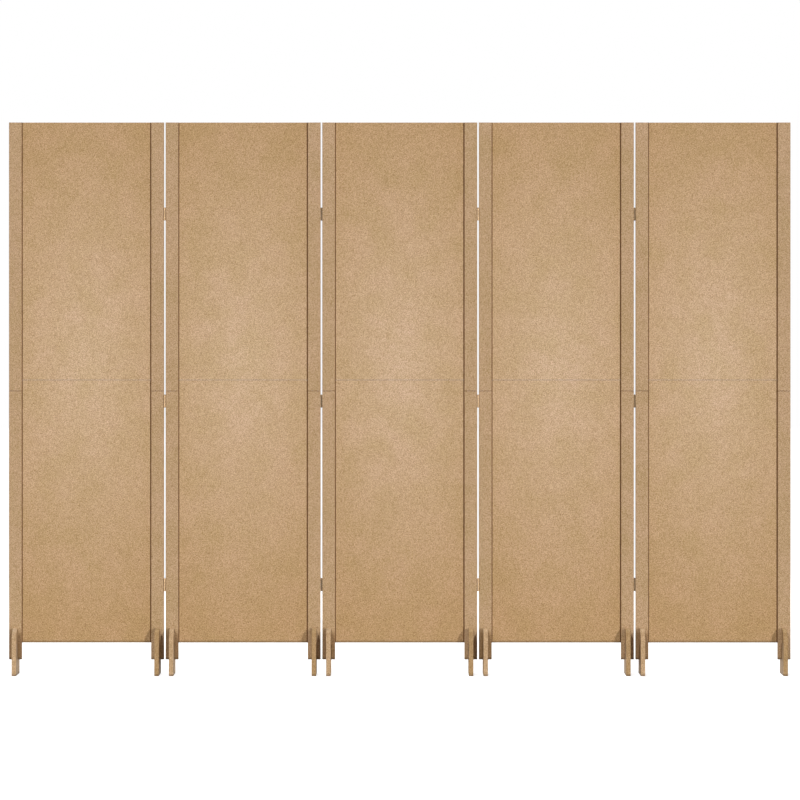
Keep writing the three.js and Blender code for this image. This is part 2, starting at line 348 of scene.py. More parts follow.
def round_tool(radius, start, end, axis, centre, end_radius=None):
    """A round cutting shape along an axis, straight or tapering to end_radius."""
    last = radius if end_radius is None else end_radius
    profile = [(0, start), (radius, start), (last, end), (0, end)]
    return turned_piece("tool", *turned_profile(profile), axis, centre)


def finish_piece(piece, body, slot, materials, *nodes, edge_axis=None):
    """Gives a piece its materials and its body, and hides the nodes that it stands for; slot is not used.
    With two materials, the second goes on the faces that don't look along edge_axis."""
    for material in materials:
        piece.data.materials.append(material)
    if edge_axis is not None:
        normals = np.empty(len(piece.data.polygons) * 3)
        piece.data.polygons.foreach_get("normal", normals)
        side = (np.abs(normals.reshape(-1, 3)[:, edge_axis]) < FACE_LOOK).astype(np.int32)
        piece.data.polygons.foreach_set("material_index", side)
    weighted = piece.modifiers.new("weighted normals", "WEIGHTED_NORMAL")
    weighted.keep_sharp = True
    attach(piece, body)
    if nodes:
        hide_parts(*nodes)


# ---- Materials ----


def new_material(name):
    """A material, its node tree and its shader."""
    material = bpy.data.materials.new(name)
    material.use_nodes = True
    tree = material.node_tree
    return material, tree, tree.nodes["Principled BSDF"]


def fill(node, inputs):
    """Feeds a node's inputs. An output is linked to its input, and anything else is the input's value."""
    for key, value in inputs.items():
        if isinstance(value, bpy.types.NodeSocket):
            node.id_data.links.new(value, node.inputs[key])
        else:
            node.inputs[key].default_value = value


def add(tree, kind, inputs, output=None, stops=(), **settings):
    """Adds a node with its settings and inputs, and gives back the output of that name, or else its first one
    in use. stops are a colour ramp's positions and colours."""
    node = tree.nodes.new(kind)
    for key, value in settings.items():
        setattr(node, key, value)
    for index, (position, rgba) in enumerate(stops):
        node.color_ramp.elements[index].position = position
        node.color_ramp.elements[index].color = rgba
    fill(node, inputs)
    return node.outputs[output] if output else next(socket for socket in node.outputs if socket.enabled)


def scaled(rgb, factor):
    """A linear colour times a factor, with its alpha."""
    return tuple(np.minimum(np.multiply(rgb, factor), 1)) + (1,)


def grey(level):
    """A level as a colour with alpha."""
    return (level, level, level, 1)


def noise(tree, place, size, detail, roughness=0.5):
    """Cloudy noise whose blotches are about size metres across. It is turned askew, because it is weaker on a
    flat face that lies along its lattice."""
    askew = add(tree, "ShaderNodeMapping", {"Vector": place, "Rotation": (0.5, 0.6, 0.7)})
    inputs = {"Vector": askew, "Scale": 1 / size, "Detail": detail, "Roughness": roughness}
    return add(tree, "ShaderNodeTexNoise", inputs, "Fac")


def clouds(tree, place, size, detail, low, high, roughness=0.5):
    """Cloudy noise from one colour to another. low and high are each a level of the noise and the colour that
    it has there."""
    level = noise(tree, place, size, detail, roughness)
    return add(tree, "ShaderNodeValToRGB", {"Fac": level}, stops=(low, high))


def off_by(tree, value, middle):
    """How far a value is from a middle."""
    difference = add(tree, "ShaderNodeMath", {0: value, 1: middle}, operation="SUBTRACT")
    return add(tree, "ShaderNodeMath", {0: difference}, operation="ABSOLUTE")


def joined(tree, operation, first, *others):
    """The minimum or maximum of several values."""
    for value in others:
        first = add(tree, "ShaderNodeMath", {0: first, 1: value}, operation=operation)
    return first


def dust_and_shade(tree, tint, *ranges, operation="MINIMUM"):
    """What dust or painted shade lets through of a face's colour: the tint where it is darkest, and all where
    the face is clear. A range is a value, its level where the dust or shade is darkest and its level where
    the face is clear. The face is clear where all ranges say so, or with MAXIMUM where any of them does."""
    shares = [
        add(tree, "ShaderNodeMapRange", {"Value": value, "From Min": thickest, "From Max": clean})
        for value, thickest, clean in ranges
    ]
    share = joined(tree, operation, *shares)
    return add(tree, "ShaderNodeValToRGB", {"Fac": share}, stops=((0, tint), (1, WHITE)))


def seen_through(tree, ground, *colour_layers):
    """A ground's colour multiplied by each of the colour layers over it: tone, dust and painted shade."""
    for over in colour_layers:
        inputs = {"Factor": 1.0, 6: ground, 7: over}
        ground = add(tree, "ShaderNodeMix", inputs, data_type="RGBA", blend_type="MULTIPLY")
    return ground


def panel_place(tree, place):
    """A place counted from the middle line of its own panel."""
    far = 10  # metres, past the screen's size the other ways
    low, high = (-PANEL_PITCH / 2, -far, -far), (PANEL_PITCH / 2, far, far)
    return add(tree, "ShaderNodeVectorMath", {0: place, 1: high, 2: low}, operation="WRAP")


def painted_light_pool(tree, own):
    """Where a pool of light is painted: one at the middle of a panel's face, falling evenly to nothing at its
    sides and towards its ends.
    """
    centre, wide, high = 1.02, 0.44, 0.9  # metres: height, and reach to the sides and up and down
    scale, location = (1 / wide, 0, 1 / high), (0, 0, -centre / high)
    around = add(tree, "ShaderNodeMapping", {"Vector": own, "Scale": scale, "Location": location})
    return add(tree, "ShaderNodeTexGradient", {"Vector": around}, "Fac", gradient_type="SPHERICAL")


def fibre_ground(tree, place, base):
    """The felt of fibres: bundles under 2 mm, drawn 3 mm across, as coarse as they need to be to show."""
    darker, paler = scaled(base, (0.73, 0.68, 0.53)), scaled(base, (1.27, 1.32, 1.47))
    return clouds(tree, place, 3 * MM, 2, (0.36, darker), (0.64, paler), 0.65)


def painted_groove_shade(tree, own):
    """Painted shade on a board along its posts: a darker line that stands in for the shadow of a post's proud
    face. The right post's line is wider."""
    across = add(tree, "ShaderNodeSeparateXYZ", {"Vector": own}, "X")
    inner_edge = (PANEL_PITCH - PANEL_GAP) / 2 - POST_WIDTH
    left = (across, 2.2 * MM - inner_edge, 3.0 * MM - inner_edge)
    right = (across, inner_edge - 3.4 * MM, inner_edge - 4.2 * MM)
    return dust_and_shade(tree, DUST_AND_SHADE, left, right)


def painted_hinge_shade(tree, place, height):
    """Painted shade on a post's edges beside the hinges: within half a hinge's height of its middle, on the
    rounding at a gap. The screen's two ends have no hinge."""
    half = HINGE_HEIGHT / 2
    gap = (PANEL_PITCH - PANEL_GAP) / 2
    end = gap + len(GAPS) / 2 * PANEL_PITCH
    own, whole = (
        off_by(tree, add(tree, "ShaderNodeSeparateXYZ", {"Vector": at}, "X"), 0)
        for at in (panel_place(tree, place), place)
    )
    away = joined(tree, "MINIMUM", *(off_by(tree, height, middle) for middle in hinge_heights().values()))
    rounding = (own, gap - 2.5 * MM, gap - 3.5 * MM)
    ends = (whole, end - 10 * MM, end - 8 * MM)
    return dust_and_shade(tree, HINGE_SHADE, rounding, ends, (away, half - MM, half + MM), operation="MAXIMUM")


def dust_and_shade_by_height(tree, height, lowest, joint, foot_shade_top):
    """The dust and painted shade that depend on height: painted shade on the lowest millimetres, darker
    towards the bottom, dust within a millimetre of a joint, and painted shade beside a foot that thins out up
    to where the foot ends."""
    colour_layers = [dust_and_shade(tree, LOWER_EDGE_SHADE, (height, lowest, lowest + 9 * MM))]
    if joint is not None:
        colour_layers.append(dust_and_shade(tree, DUST_AND_SHADE, (off_by(tree, height, joint), 0.4 * MM, 0.9 * MM)))
    if foot_shade_top is not None:
        colour_layers.append(dust_and_shade(tree, FOOT_SHADE, (height, foot_shade_top - 24 * MM, foot_shade_top)))
    return colour_layers


def painted_knuckle_shade(tree, place):
    """Painted shade on the inner side of a hinge's knuckles and the leaves' roots. A pin axis lies as far
    from the middle of the screen on the front as on the back."""
    depth = off_by(tree, add(tree, "ShaderNodeSeparateXYZ", {"Vector": place}, "Y"), 0)
    axis = axis_offset()
    root, knuckle = (depth, axis - 3.2 * MM, axis - 4.2 * MM), (depth, axis - 0.8 * MM, axis)
    return dust_and_shade(tree, KNUCKLE_SHADE, root, knuckle, operation="MAXIMUM")


def fibreboard(name, base, lowest, joint=None, pale=None, foot_shade_top=None):
    """Medium-density fibreboard, sanded on a wide belt and left raw. The eye gets a felt of short fibres,
    pale bundles between darker bark flecks, a soft cloudiness of the pressed mat, and a dull even sheen.
    joint, if given, is the height at which two lengths meet, with dust along their seam. pale, if given, is
    the colour of a pool of light painted around a board's middle; such a board also has painted shade along
    its posts. The lowest millimetres are darkened with painted shade, and the height for the feet's shade, if
    given, is the height below which painted shade beside a foot darkens the face."""
    material, tree, shader = new_material(name)
    place = add(tree, "ShaderNodeTexCoord", {}, "Object")
    ground = fibre_ground(tree, place, base)
    height = add(tree, "ShaderNodeSeparateXYZ", {"Vector": place}, "Z")
    colour_layers = dust_and_shade_by_height(tree, height, lowest, joint, foot_shade_top)
    # A pool of light painted around the panel's middle, and painted shade along the posts.
    if pale is not None:
        own = panel_place(tree, place)
        inputs = {0: painted_light_pool(tree, own), 6: ground, 7: fibre_ground(tree, place, pale)}
        ground = add(tree, "ShaderNodeMix", inputs, data_type="RGBA")
        colour_layers.append(painted_groove_shade(tree, own))
    # The mat's cloudiness, 90 mm across: a little yellower here, a little pinker there.
    colour_layers.append(clouds(tree, place, 90 * MM, 3, (0.32, (0.91, 0.92, 0.81, 1)), (0.68, WHITE)))
    # Bark flecks under 1 mm, drawn 4 mm across, as coarse as they need to be to show.
    colour_layers.append(clouds(tree, place, 4 * MM, 1, (0.26, (0.68, 0.63, 0.57, 1)), (0.38, WHITE)))
    nap = {"Height": noise(tree, place, 1.2 * MM, 3, 0.7), "Strength": 0.35, "Distance": 0.15 * MM}
    look = {
        "Base Color": seen_through(tree, ground, *colour_layers),
        "Specular IOR Level": 0.3,
        "Roughness": clouds(tree, place, 12 * MM, 3, (0.3, grey(0.56)), (0.7, grey(0.66))),
        "Normal": add(tree, "ShaderNodeBump", nap),
    }
    fill(shader, look)
    return material


def machined_edge(name, base, lowest, joint=None, painted_highlight=None, foot_shade_top=None, hinged=False):
    """The edge of fibreboard as a saw or cutter leaves it. The cut opens the loose core, so the eye gets a
    slightly paler, drier surface than the pressed face, with a coarser nap and no sheen. joint and the height
    for the feet's shade are as for the face, and the highlight, if given, is a height and the paler colour
    painted above it, as a highlight on a foot's rounded shoulder. A hinged edge has painted shade beside its
    hinges."""
    material, tree, shader = new_material(name)
    place = add(tree, "ShaderNodeTexCoord", {}, "Object")
    ground = fibre_ground(tree, place, base)
    height = add(tree, "ShaderNodeSeparateXYZ", {"Vector": place}, "Z")
    colour_layers = dust_and_shade_by_height(tree, height, lowest, joint, foot_shade_top)
    # A paler colour painted above a height, as a highlight on a foot's shoulder.
    if painted_highlight is not None:
        start, pale = painted_highlight
        painted = {"Value": height, "From Min": start, "From Max": start + 8 * MM}  # the painted highlight comes in over 8 mm
        share = add(tree, "ShaderNodeMapRange", painted)
        inputs = {0: share, 6: ground, 7: fibre_ground(tree, place, pale)}
        ground = add(tree, "ShaderNodeMix", inputs, data_type="RGBA")
    # Painted shade on the edge's rounding beside the hinges.
    if hinged:
        colour_layers.append(painted_hinge_shade(tree, place, height))
    colour_layers.append(clouds(tree, place, 40 * MM, 2, (0.3, (0.92, 0.92, 0.88, 1)), (0.7, WHITE)))
    nap = {"Height": noise(tree, place, 0.9 * MM, 4, 0.75), "Strength": 0.4, "Distance": 0.15 * MM}
    look = {
        "Base Color": seen_through(tree, ground, *colour_layers),
        "Specular IOR Level": 0.2,
        "Roughness": 0.75,
        "Normal": add(tree, "ShaderNodeBump", nap),
    }
    fill(shader, look)
    return material


def passivated_steel(name, base):
    """Thin cold-rolled steel, zinc plated and passivated. The passivation gives the eye a warm grey metal
    with faint straw and pink clouds and a satin, slightly uneven gloss."""
    material, tree, shader = new_material(name)
    place = add(tree, "ShaderNodeTexCoord", {}, "Object")
    straw, pink = scaled(base, (0.94, 0.93, 0.88)), scaled(base, (1.04, 1.05, 1.1))
    ground = clouds(tree, place, 9 * MM, 3, (0.3, straw), (0.7, pink))
    grain = {"Height": noise(tree, place, 0.4 * MM, 2), "Strength": 0.15, "Distance": 0.03 * MM}
    look = {
        # The knuckles and the leaves' roots are darkened with painted shade.
        "Base Color": seen_through(tree, ground, painted_knuckle_shade(tree, place)),
        "Metallic": 1.0,
        "Roughness": clouds(tree, place, 4 * MM, 3, (0.3, grey(0.42)), (0.7, grey(0.54))),
        "Normal": add(tree, "ShaderNodeBump", grain),
    }
    fill(shader, look)
    return material


def turned_beech(name, base):
    """Beech rod, drawn through a die. The eye gets a pale straight grain along the rod with short dark
    rays."""
    material, tree, shader = new_material(name)
    place = add(tree, "ShaderNodeTexCoord", {}, "Object")
    drawn_out = add(tree, "ShaderNodeMapping", {"Vector": place, "Scale": (1, 1, 0.08)})
    wood = clouds(tree, drawn_out, 0.8 * MM, 3, (0.3, scaled(base, 0.82)), (0.7, scaled(base, 1.05)))
    fill(shader, {"Base Color": wood, "Roughness": 0.6})
    return material


def studio_floor(name):
    """Matt pale paint, raised to white where the camera, gloss or glass sees it, so that only the object's
    shadow stays darker than the background."""
    material, tree, shader = new_material(name)
    lift = add(tree, "ShaderNodeMath", {0: seen_directly(tree), 1: 0.75}, operation="MULTIPLY")
    look = {"Base Color": grey(0.5), "Roughness": 0.9, "Emission Color": WHITE, "Emission Strength": lift}
    fill(shader, look)
    return material


def seen_directly(tree):
    """One where a camera, glossy or transmitted ray looks, and nothing elsewhere."""
    kinds = ("Camera", "Glossy", "Transmission")
    rays = (add(tree, "ShaderNodeLightPath", {}, f"Is {kind} Ray") for kind in kinds)
    return joined(tree, "MAXIMUM", *rays)


# ---- Posts ----


def post_middle(panel, side, height=0):
    """The middle of a post's plan, at a height."""
    low, high = box(f"panel_{panel}_{side}_upper_post")
    return np.array([(low[0] + high[0]) / 2, 0, height])


def pin_side(gap):
    """-1 where a gap's pins are on the front, 1 where they are on the back, and 0 outside the screen."""
    if gap not in GAPS:
        return 0
    low, high = box(f"hinge_{gap}_{gap + 1}_top_pin_leaf")
    return -1 if low[1] + high[1] < 0 else 1


def post_outline(foot, top, groove_foot, slot_half, slot_top):
    """A left post's outline in X and Z about its middle line: outer edge at -X, grooved edge at +X, and the
    slot for the foot where slot_half isn't zero. The step marks the points that the groove pulls inwards."""
    half = POST_WIDTH / 2
    outline = [(-half, foot)]
    if slot_half:
        outline += [(-slot_half, foot), (-slot_half, slot_top), (slot_half, slot_top), (slot_half, foot)]
    outline.append((half, foot))
    if groove_foot > foot:
        outline += [(half, groove_foot - FIT), (half, groove_foot)]
    outline.append((half, top))
    outline.append((-half, top))
    outline = np.array(outline)
    grooved = (outline[:, 0] == half) & (outline[:, 1] >= groove_foot)
    step = np.where(grooved[:, None], (-GROOVE_DEPTH, 0), (0, 0))
    return outline, step


def post_tools(side, centre, face, heights, sizes, hinge, bore):
    """Cutting shapes for a post: the dowel's bore, and pilot holes for the hinges' screws in its outer
    edge."""
    tools = [round_tool(sizes.dowel_diameter / 2 + FIT, *bore, 2, centre)]
    if face:
        outwards = -1 if side == "left" else 1
        past = 2 * MM  # how far a cutting shape stands out of the edge
        reach = sorted((outwards * past, -outwards * hinge.screw_length))
        for height in heights:
            for end in (-0.5, 0.5):
                at = (outwards * POST_WIDTH / 2, face * (axis_offset() - screw_reach()), height)
                place = centre + at + (0, 0, end * hinge.screw_spacing)
                tools.append(round_tool(hinge.screw_diameter / 2 + FIT, *reach, 0, place))
    return tools


def axis_offset():
    """Middle of a post's thickness to a hinge's pin axis."""
    return UPPER_POST_BOX[1][1] + bpy.context.scene.hinge_sizes.axis_proud


def knuckle_radius():
    """A knuckle fills the gap between two posts but for a clearance on both sides."""
    return PANEL_GAP / 2 - FIT


def leaf_reach():
    """Pin axis to a leaf's free edge."""
    return PLAIN_LEAF_BOX[1][1] + axis_offset()


def screw_reach():
    """Pin axis to a leaf's screws."""
    return (knuckle_radius() + leaf_reach()) / 2


def hinge_heights():
    """Middle heights of the three hinges in a gap."""
    boxes = {level: box(f"hinge_1_2_{level}_pin_leaf") for level in ("top", "middle", "bottom")}
    return {level: (low[2] + high[2]) / 2 for level, (low, high) in boxes.items()}


class SCREEN_OT_posts(bpy.types.Operator):
    """Makes the posts: two lengths a side, grooved for the board, the lower one slotted over its foot"""

    bl_idname = "folding_screen.posts"
    bl_label = "Make posts"

    def execute(self, context):
        sizes = context.scene.wood_sizes
        hinge = context.scene.hinge_sizes
        finishes = context.scene.finishes
        materials = {}
        # The left posts' lower ends are darkened with painted shade beside their feet; the right posts' are
        # not. Every post's edges get painted shade beside the hinges.
        for side, foot_shade_top in (("left", FOOT_BOX[1][2]), ("right", None)):
            face, edge = f"{side} post fibreboard, sanded", f"{side} post fibreboard, machined edge"
            materials[side] = [
                fibreboard(face, finishes.post, LOWER_POST_FOOT, SEAM, foot_shade_top=foot_shade_top),
                machined_edge(edge, finishes.edge, LOWER_POST_FOOT, SEAM, foot_shade_top=foot_shade_top, hinged=True),
            ]
        levels = hinge_heights()
        slot_half = (FOOT_BOX[1][0] - FOOT_BOX[0][0]) / 2 + FIT
        groove_half = BOARD_THICKNESS / 2 + FIT
        depth = DOWEL_TOP - SEAM + sizes.dowel_end_gap
        past = 5 * MM  # how far the bore's cutting shape stands out of a post's end
        lower = post_outline(LOWER_POST_FOOT, SEAM, LOWER_BOARD_BOX[0][2], slot_half, LAP_HEIGHT + FIT)
        upper = post_outline(UPPER_POST_BOX[0][2], UPPER_POST_BOX[1][2], 0, 0, 0)
        # Each length's outline and step, its hinges' heights and the ends of its bore's cutting shape.
        lengths = {
            "lower": (lower, (levels["bottom"], levels["middle"]), (SEAM - depth, SEAM + past)),
            "upper": (upper, (levels["top"],), (SEAM - past, SEAM + depth)),
        }
        for panel, side in PANEL_SIDES:
            face = pin_side(panel if side == "right" else panel - 1)
            centre = post_middle(panel, side)
            mirror = 1 if side == "left" else -1
            for level, (shape, heights, bore) in lengths.items():
                # A mirrored outline is read backwards, to run anticlockwise again.
                outline, step = ((part * (mirror, 1))[::mirror] for part in shape)
                rows, across = eased_plate(outline, POST_THICKNESS, sizes.post_easing, (groove_half, step))
                node = f"panel_{panel}_{side}_{level}_post"
                piece = plate_piece(node + "_fibreboard", rows, across, 1, centre)
                cut_away(piece, post_tools(side, centre, face, heights, sizes, hinge, bore))
                finish_piece(piece, f"panel_{panel}", "post_fibreboard", materials[side], node, edge_axis=1)
        return {"FINISHED"}


class SCREEN_OT_dowels(bpy.types.Operator):
    """Makes the fluted beech dowels that pin the posts' two lengths together"""

    bl_idname = "folding_screen.dowels"
    bl_label = "Make dowels"

    def execute(self, context):
        sizes = context.scene.wood_sizes
        material = turned_beech("beech, turned", context.scene.finishes.beech)
        columns, flutes, flute_depth = 48, 12, 0.05
        chamfer, chamfer_share = 1 * MM, 0.8
        standout = DOWEL_TOP - SEAM
        along = np.array([-standout, -standout, chamfer - standout, standout - chamfer, standout, standout])
        share = np.array([0, chamfer_share, 1, 1, chamfer_share, 0])
        turn = np.linspace(0, 2 * math.pi, columns, endpoint=False)
        flute = 1 - flute_depth * (1 - np.cos(flutes * turn))
        radius = sizes.dowel_diameter / 2 * share[:, None] * flute[None]
        height = np.repeat(along[:, None], columns, axis=1)
        for panel, side in PANEL_SIDES:
            centre = post_middle(panel, side, SEAM)
            piece = turned_piece(f"panel_{panel}_{side}_dowel", radius, height, 2, centre)
            finish_piece(piece, f"panel_{panel}", "post_fibreboard", [material])
        return {"FINISHED"}


# ---- Boards and feet ----


class SCREEN_OT_boards(bpy.types.Operator):
    """Makes the thin boards that stand in the posts' grooves"""

    bl_idname = "folding_screen.boards"
    bl_label = "Make boards"

    def execute(self, context):
        easing = context.scene.wood_sizes.board_easing
        finishes = context.scene.finishes
        foot, joint = LOWER_BOARD_BOX[0][2], LOWER_BOARD_BOX[1][2]
        # The boards get a painted pool of light around each panel's middle.
        materials = [
            fibreboard("board fibreboard, sanded", finishes.board, foot, joint, finishes.board_painted_light),
            machined_edge("board fibreboard, machined edge", finishes.edge, foot, joint),
        ]
        for panel in PANELS:
            for level in ("lower", "upper"):
                node = f"panel_{panel}_{level}_board"
                (left, _, bottom), (right, _, top) = box(node)
                outline = np.array([(left, bottom), (right, bottom), (right, top), (left, top)])
                rows, across = eased_plate(outline, BOARD_THICKNESS, easing)
                piece = plate_piece(node + "_fibreboard", rows, across, 1, np.zeros(3))
                finish_piece(piece, f"panel_{panel}", "board_fibreboard", materials, node, edge_axis=1)
        return {"FINISHED"}


def foot_outline(sizes):
    """A foot's side view in Y and Z: flat on the floor, upright ends, shoulders that are quarter ellipses,
    and the notch that holds the post."""
    end = (FOOT_BOX[1][1] - FOOT_BOX[0][1]) / 2
    height = FOOT_BOX[1][2]
    notch = POST_THICKNESS / 2 + FIT
    shoulder_points = 17
    turn = np.linspace(0, math.pi / 2, shoulder_points)
    y = notch + (end - notch) * np.cos(turn)
    z = height - sizes.shoulder_drop * (1 - np.sin(turn))
    front = np.stack([y, z], axis=1)
    back = (front * (-1, 1))[::-1]
    inside = [(notch, LAP_HEIGHT), (-notch, LAP_HEIGHT)]
    return np.concatenate([[(-end, 0), (end, 0)], front, inside, back])


class SCREEN_OT_feet(bpy.types.Operator):
    """Makes the plate feet, notched to stand halved over the posts' lower ends"""

    bl_idname = "folding_screen.feet"
    bl_label = "Make feet"

    def execute(self, context):
        sizes = context.scene.wood_sizes
        finishes = context.scene.finishes
        # The top of each foot's shoulders is painted paler, as a highlight, and the feet's lowest millimetres
        # darker, as painted shade.
        highlight_from = FOOT_BOX[1][2] - 14 * MM
        colours = np.array([finishes.foot, finishes.foot_edge, finishes.shoulder_highlight])
        materials = {}
        for side, share in (("left", 1), ("right", np.array(finishes.right_foot))):
            face, edge, painted_highlight = (tuple(base) for base in colours * share)
            materials[side] = [
                fibreboard(f"{side} foot fibreboard, sanded", face, 0),
                machined_edge(f"{side} foot fibreboard, machined edge", edge, 0, painted_highlight=(highlight_from, painted_highlight)),
            ]
        outline = foot_outline(sizes)
        for panel, side in PANEL_SIDES:
            node = f"panel_{panel}_{side}_foot"
            low, high = box(node)
            rows, across = eased_plate(outline, high[0] - low[0], sizes.foot_easing)
            centre = np.array([(low[0] + high[0]) / 2, 0, 0])
            piece = plate_piece(node + "_fibreboard", rows, across, 0, centre)
            finish_piece(piece, f"panel_{panel}", "foot_fibreboard", materials[side], node, edge_axis=0)
        return {"FINISHED"}


# ---- Hinges ----


def leaf_grids(side, face, hinge, knuckles):
    """A leaf as two grids of points about its pin, and the cells that hold metal. The sheet runs from its
    free edge straight to the pin and rolls on round it: rows follow the run of the sheet, columns its height.
    The free corners are rounded by drawing each row in to the corner's quarter round."""
    middle = knuckle_radius() - hinge.sheet / 2
    reach = leaf_reach()
    root = knuckle_radius() + FIT
    corner_rows, roll_rows, rolled = 6, 24, math.radians(300)
    third = (HINGE_HEIGHT - 2 * FIT) / 3
    corner = hinge.leaf_corner * (1 - np.cos(np.linspace(0, math.pi / 2, corner_rows)))
    flat = np.concatenate([corner, [reach - root, reach]])
    roll = np.linspace(0, rolled, roll_rows + 1)[1:]
    run = np.concatenate([flat, reach + middle * roll])
    turn = np.maximum(run - reach, 0) / middle
    straight = np.maximum(reach - run, 0)
    out = np.stack([side * np.cos(turn), -np.sin(turn)], axis=1)
    line = middle * out + np.stack([np.zeros_like(run), straight], axis=1)
    depth = np.clip(hinge.leaf_corner - run, 0, None)
    drawn = hinge.leaf_corner - np.sqrt(np.clip(hinge.leaf_corner**2 - depth**2, 0, None))
    upper = np.array([0.5 * third, 0.5 * third + FIT, 1.5 * third + FIT])
    z = np.concatenate([-upper[::-1], upper])
    height = z[None] * (1 - drawn / (HINGE_HEIGHT / 2))[:, None]
    grids = []
    for offset in (hinge.sheet / 2, -hinge.sheet / 2):
        plan = line + offset * out
        grid = np.empty((len(run), len(z), 3))
        grid[..., 0] = plan[:, :1]
        grid[..., 1] = plan[:, 1:] * -face
        grid[..., 2] = height
        grids.append(grid)
    metal = np.ones((len(run) - 1, len(z) - 1), bool)
    metal[run[:-1] >= reach - root - MERGED] = knuckles
    return grids[0], grids[1], metal


class SCREEN_OT_leaves(bpy.types.Operator):
    """Makes the hinges' leaves, each a plate rolled into knuckles, with countersunk holes"""

    bl_idname = "folding_screen.leaves"
    bl_label = "Make hinge leaves"

    def execute(self, context):
        hinge = context.scene.hinge_sizes
        material = passivated_steel("steel, zinc plated and passivated", context.scene.finishes.steel)
        kinds = {
            "pin": (-1, 0, np.array([True, False, False, False, True])),
            "plain": (1, 1, np.array([False, False, True, False, False])),
        }
        for gap, level, centre, face in all_hinges():
            for kind, (side, step, knuckles) in kinds.items():
                name = f"hinge_{gap}_{gap + 1}_{level}_{kind}_leaf"
                outer, inner, metal = leaf_grids(side, face, hinge, knuckles)
                piece = sheet_piece(name + "_steel", outer + centre, inner + centre, metal)
                cut_away(piece, countersinks(side, face, centre, hinge))
                stands_for = name if name in frame["nodes"] else f"panel_{gap + 1}_left_lower_post"
                finish_piece(piece, f"panel_{gap + step}", "hinge_steel", [material], stands_for)
        return {"FINISHED"}


def all_hinges():
    """Each hinge's gap, level, centre on its pin axis, and the side that its pin is on."""
    for gap in GAPS:
        face = pin_side(gap)
        right = box(f"panel_{gap}_right_upper_post")[1][0]
        left = box(f"panel_{gap + 1}_left_upper_post")[0][0]
        for level, height in hinge_heights().items():
            yield gap, level, np.array([(left + right) / 2, face * axis_offset(), height]), face


def screw_places(side, face, centre, hinge):
    """Where a leaf's two screws stand: on the leaf's inner face, level with it."""
    x = side * (knuckle_radius() - hinge.sheet)
    for end in (-0.5, 0.5):
        yield centre + (x, -face * screw_reach(), end * hinge.screw_spacing)


def head_depth(hinge):
    """Height of a countersunk head whose cone opens at 90 degrees."""
    return (hinge.head_diameter - hinge.screw_diameter) / 2


def countersinks(side, face, centre, hinge):
    """Cones that open a leaf's screw holes, a clearance wider than the screw heads."""
    tools = []
    for place in screw_places(side, face, centre, hinge):
        past = 0.2 * MM  # how far a cone stands out of the sheet on both sides
        depth = hinge.sheet + 2 * past
        wide = hinge.head_diameter / 2 + 1.5 * past  # half of past stays as clearance round the head
        (start, first), (end, last) = sorted([(side * -past, wide), (side * (depth - past), wide - depth)])
        tools.append(round_tool(first, start, end, 0, place, last))
    return tools


class SCREEN_OT_pins(bpy.types.Operator):
    """Makes the hinge pins, with a low domed head on both ends"""

    bl_idname = "folding_screen.pins"
    bl_label = "Make hinge pins"

    def execute(self, context):
        hinge = context.scene.hinge_sizes
        material = passivated_steel("pin steel, zinc plated", context.scene.finishes.steel)
        half = HINGE_HEIGHT / 2
        shank = hinge.pin_diameter / 2
        head = knuckle_radius() - FIT
        rise, dome_rows = 0.7 * MM, 5
        turn = np.linspace(0, math.pi / 2, dome_rows)
        dome = np.stack([head * np.cos(turn), half + rise * np.sin(turn)], axis=1)
        upper = np.concatenate([[(shank, half)], dome])
        lower = (upper * (1, -1))[::-1]
        radius, height = turned_profile(np.concatenate([lower, upper]))
        for gap, level, centre, _ in all_hinges():
            name = f"hinge_{gap}_{gap + 1}_{level}_pin"
            piece = turned_piece(name, radius, height, 2, centre)
            finish_piece(piece, f"panel_{gap}", "hinge_steel", [material])
        return {"FINISHED"}


def screw_grids(hinge):
    """A countersunk screw along its axis, head at zero and point at the far end. Rows run from the recess in
    the head over its rim, down the cone and along the thread. The recess is a cross whose depth falls off
    with the distance from its arms, and the thread's radius is a ridge that climbs one pitch in a turn."""
    recess_depth, recess_share, arm_width = 0.8 * MM, 0.75, 0.35 * MM
    thread_rows, ridge_slope, point_length, point_curve = 34, 5, 4 * MM, 0.7
    turn = np.linspace(0, 2 * math.pi, ROUND, endpoint=False)
    share = np.array([0, 0.2, 0.4, 0.6, recess_share, 1.0])
    top_radius = hinge.head_diameter / 2 * share
    off_arm = top_radius[:, None] * np.minimum(np.abs(np.sin(turn)), np.abs(np.cos(turn)))[None]
    towards_rim = np.clip(1 - share / recess_share, 0, 1)[:, None] ** 0.5
    depth = recess_depth * np.clip(1 - off_arm / arm_width, 0, 1) * towards_rim
    core = 0.36 * hinge.screw_diameter
    tip = hinge.screw_length + hinge.sheet
    rows = head_depth(hinge) + np.linspace(0, 1, thread_rows) * (tip - head_depth(hinge))
    phase = rows[:, None] / hinge.thread_pitch - turn[None] / (2 * math.pi)
    ridge = np.clip(1 - np.abs(phase % 1 - 0.5) * ridge_slope, 0, 1)
    taper = np.clip((tip - rows) / point_length, 0, 1)[:, None] ** point_curve
    thread = (core + (hinge.screw_diameter / 2 - core) * ridge) * taper
    radius = np.concatenate([np.repeat(top_radius[:, None], ROUND, axis=1), thread])
    return radius, np.concatenate([depth, np.repeat(rows[:, None], ROUND, axis=1)])


